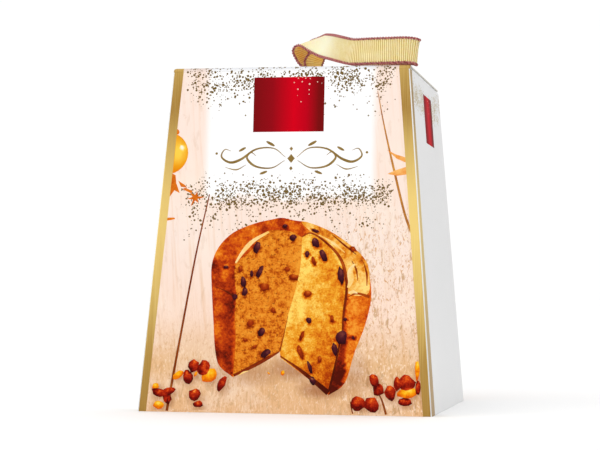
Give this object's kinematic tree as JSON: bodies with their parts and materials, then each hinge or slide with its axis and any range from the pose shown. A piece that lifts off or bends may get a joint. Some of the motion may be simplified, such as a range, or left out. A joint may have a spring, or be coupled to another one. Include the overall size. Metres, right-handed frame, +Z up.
{
  "type": "panettone gift carton",
  "caption": "Tapered square gift carton for a panettone, with a hinged tuck lid, a ribbon carrying loop, and the loaf inside in its paper mould and tied film bag.",
  "frame": {"origin": "centre of the square base, on the surface that the carton stands on", "axes": "+Z up, -Y out of the printed front, +X to the right seen from the front"},
  "size_m": [0.18, 0.18, 0.2395],
  "materials": {
    "printed_board": "satin",
    "white_board": "satin",
    "plain_card": "matte",
    "ribbon_cloth": "satin",
    "baked_crust": "matte",
    "mould_paper": "matte",
    "clear_film": "gloss",
    "gold_tie": "polished"
  },
  "bodies": {
    "carton": {"front_wall": "printed_board", "right_wall": "white_board", "back_wall": "printed_board", "left_wall": "white_board", "seam_flap": "white_board", "base_panel": "white_board", "base_tuck_flap": "white_board", "base_dust_flap_left": "white_board", "base_dust_flap_right": "white_board", "panettone_loaf": "baked_crust", "paper_mould_wall": "mould_paper", "paper_mould_base": "mould_paper", "film_bag": "clear_film", "bag_tie": "gold_tie"},
    "lid": {"lid_panel": "white_board", "ribbon_handle": "ribbon_cloth", "ribbon_anchor_card": "plain_card"},
    "tuck": {"lid_tuck_flap": "white_board"},
    "dust_left": {"lid_dust_flap_left": "white_board"},
    "dust_right": {"lid_dust_flap_right": "white_board"}
  },
  "joints": [
    {"name": "lid_crease", "type": "hinge", "parent": "carton", "child": "lid", "pos_m": [0, -0.0735, 0.21015], "axis": [1, 0, 0], "range_deg": [0, 115]},
    {"name": "tuck_crease", "type": "hinge", "parent": "lid", "child": "tuck", "pos_m": [0, 0.0714, 0.21015], "axis": [-1, 0, 0], "range_deg": [0, 40]},
    {"name": "dust_crease_left", "type": "hinge", "parent": "carton", "child": "dust_left", "pos_m": [-0.07345, 0, 0.2093], "axis": [0, -1, 0], "range_deg": [0, 115]},
    {"name": "dust_crease_right", "type": "hinge", "parent": "carton", "child": "dust_right", "pos_m": [0.07345, 0, 0.2093], "axis": [0, 1, 0], "range_deg": [0, 115]}
  ],
  "couplings": [
    {"joint": "tuck_crease", "follows": "lid_crease", "ratio": 0.3},
    {"joint": "dust_crease_left", "follows": "lid_crease", "ratio": 1},
    {"joint": "dust_crease_right", "follows": "lid_crease", "ratio": 1}
  ]
}
